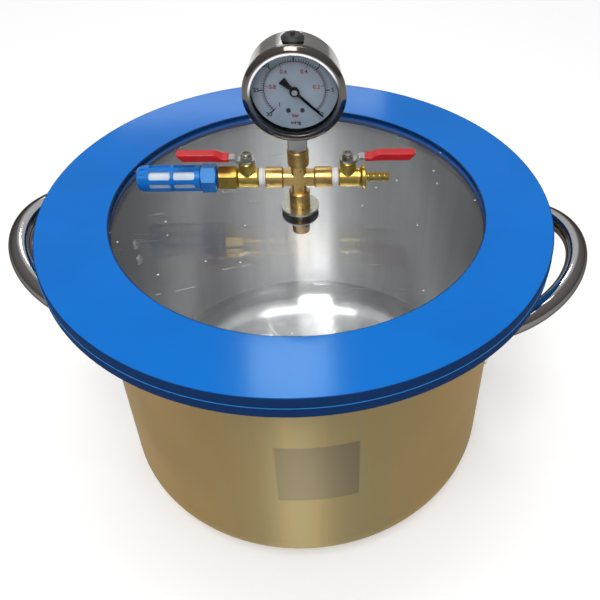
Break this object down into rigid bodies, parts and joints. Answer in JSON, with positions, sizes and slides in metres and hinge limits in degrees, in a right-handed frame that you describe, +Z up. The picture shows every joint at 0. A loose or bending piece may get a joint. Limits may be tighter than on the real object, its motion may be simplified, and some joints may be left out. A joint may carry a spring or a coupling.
{
  "type": "vacuum chamber",
  "caption": "Steel pot vacuum chamber: clear lid in a wide silicone gasket, brass cross with dial gauge, mini ball valves, intake silencer and hose barb, and tube handles.",
  "frame": {"origin": "centre of the pot's base, on the surface that it stands on", "axes": "+Z up along the pot's axis, +X along the pipework towards the hose barb, and the gauge faces -Y"},
  "size_m": [0.4434, 0.3808, 0.3855],
  "materials": {
    "pot_steel": "brushed",
    "handle_chrome": "polished",
    "ear_steel": "satin",
    "rivet_steel": "satin",
    "clear_acrylic": "polished and clear",
    "blue_silicone": "satin",
    "washer_steel": "satin",
    "black_rubber": "matte",
    "nickel": "satin plating",
    "brass": "satin",
    "tape": "matte",
    "zinc_plate": "satin",
    "red_vinyl": "satin",
    "blue_plastic": "glossy",
    "white_filter": "matte",
    "case_steel": "polished",
    "clear_window": "clear",
    "dial_white": "painted",
    "needle_black": "painted"
  },
  "bodies": {
    "base": {"pot": "pot_steel", "handle_left": "handle_chrome", "handle_right": "handle_chrome", "handle_ears_left": "ear_steel", "handle_ears_right": "ear_steel", "handle_rivets_left": "rivet_steel", "handle_rivets_right": "rivet_steel", "lid": "clear_acrylic", "lid_gasket": "blue_silicone", "top_washer": "washer_steel", "sealing_washer": "black_rubber", "lock_nut": "nickel", "lid_nipple": "brass", "cross": "brass", "thread_tape_left": "tape", "thread_tape_right": "tape", "valve_body_left": "brass", "valve_body_right": "brass", "valve_seats_left": "tape", "valve_seats_right": "tape", "stem_packing_left": "tape", "stem_packing_right": "tape", "hose_barb": "brass", "valve_socket": "brass", "silencer_body": "blue_plastic", "silencer_element": "white_filter", "silencer_cap": "blue_plastic", "gauge_case": "case_steel", "gauge_bezel": "case_steel", "gauge_window": "clear_window", "window_seal": "black_rubber", "gauge_dial": "dial_white", "dial_screws": "ear_steel", "movement_posts": "brass", "movement_front_plate": "brass", "movement_back_plate": "brass", "sector_link": "brass", "bourdon_tube": "brass", "gauge_socket": "brass", "filler_plug": "black_rubber"},
    "lever_left": {"valve_ball_left": "nickel", "valve_stem_left": "brass", "lever_left": "zinc_plate", "lever_grip_left": "red_vinyl", "lever_nut_left": "zinc_plate"},
    "lever_right": {"valve_ball_right": "nickel", "valve_stem_right": "brass", "lever_right": "zinc_plate", "lever_grip_right": "red_vinyl", "lever_nut_right": "zinc_plate"},
    "needle": {"gauge_needle": "needle_black", "needle_arbor": "brass"},
    "sector": {"sector_gear": "brass", "sector_arbor": "brass"}
  },
  "joints": [
    {"name": "valve_left_turn", "type": "hinge", "parent": "base", "child": "lever_left", "pos_m": [-0.0368, 0, 0.2745], "axis": [0, 0, -1], "range_deg": [0, 90]},
    {"name": "valve_right_turn", "type": "hinge", "parent": "base", "child": "lever_right", "pos_m": [0.0356, 0, 0.2745], "axis": [0, 0, -1], "range_deg": [0, 90]},
    {"name": "needle_turn", "type": "hinge", "parent": "base", "child": "needle", "pos_m": [0, 0, 0.349], "axis": [0, -1, 0], "range_deg": [0, 270], "stiffness_Nm_per_rad": 0.0002},
    {"name": "sector_turn", "type": "hinge", "parent": "base", "child": "sector", "pos_m": [0.018, 0, 0.349], "axis": [0, -1, 0], "range_deg": [-54, 0]}
  ],
  "couplings": [
    {"joint": "sector_turn", "follows": "needle_turn", "ratio": -0.2}
  ]
}
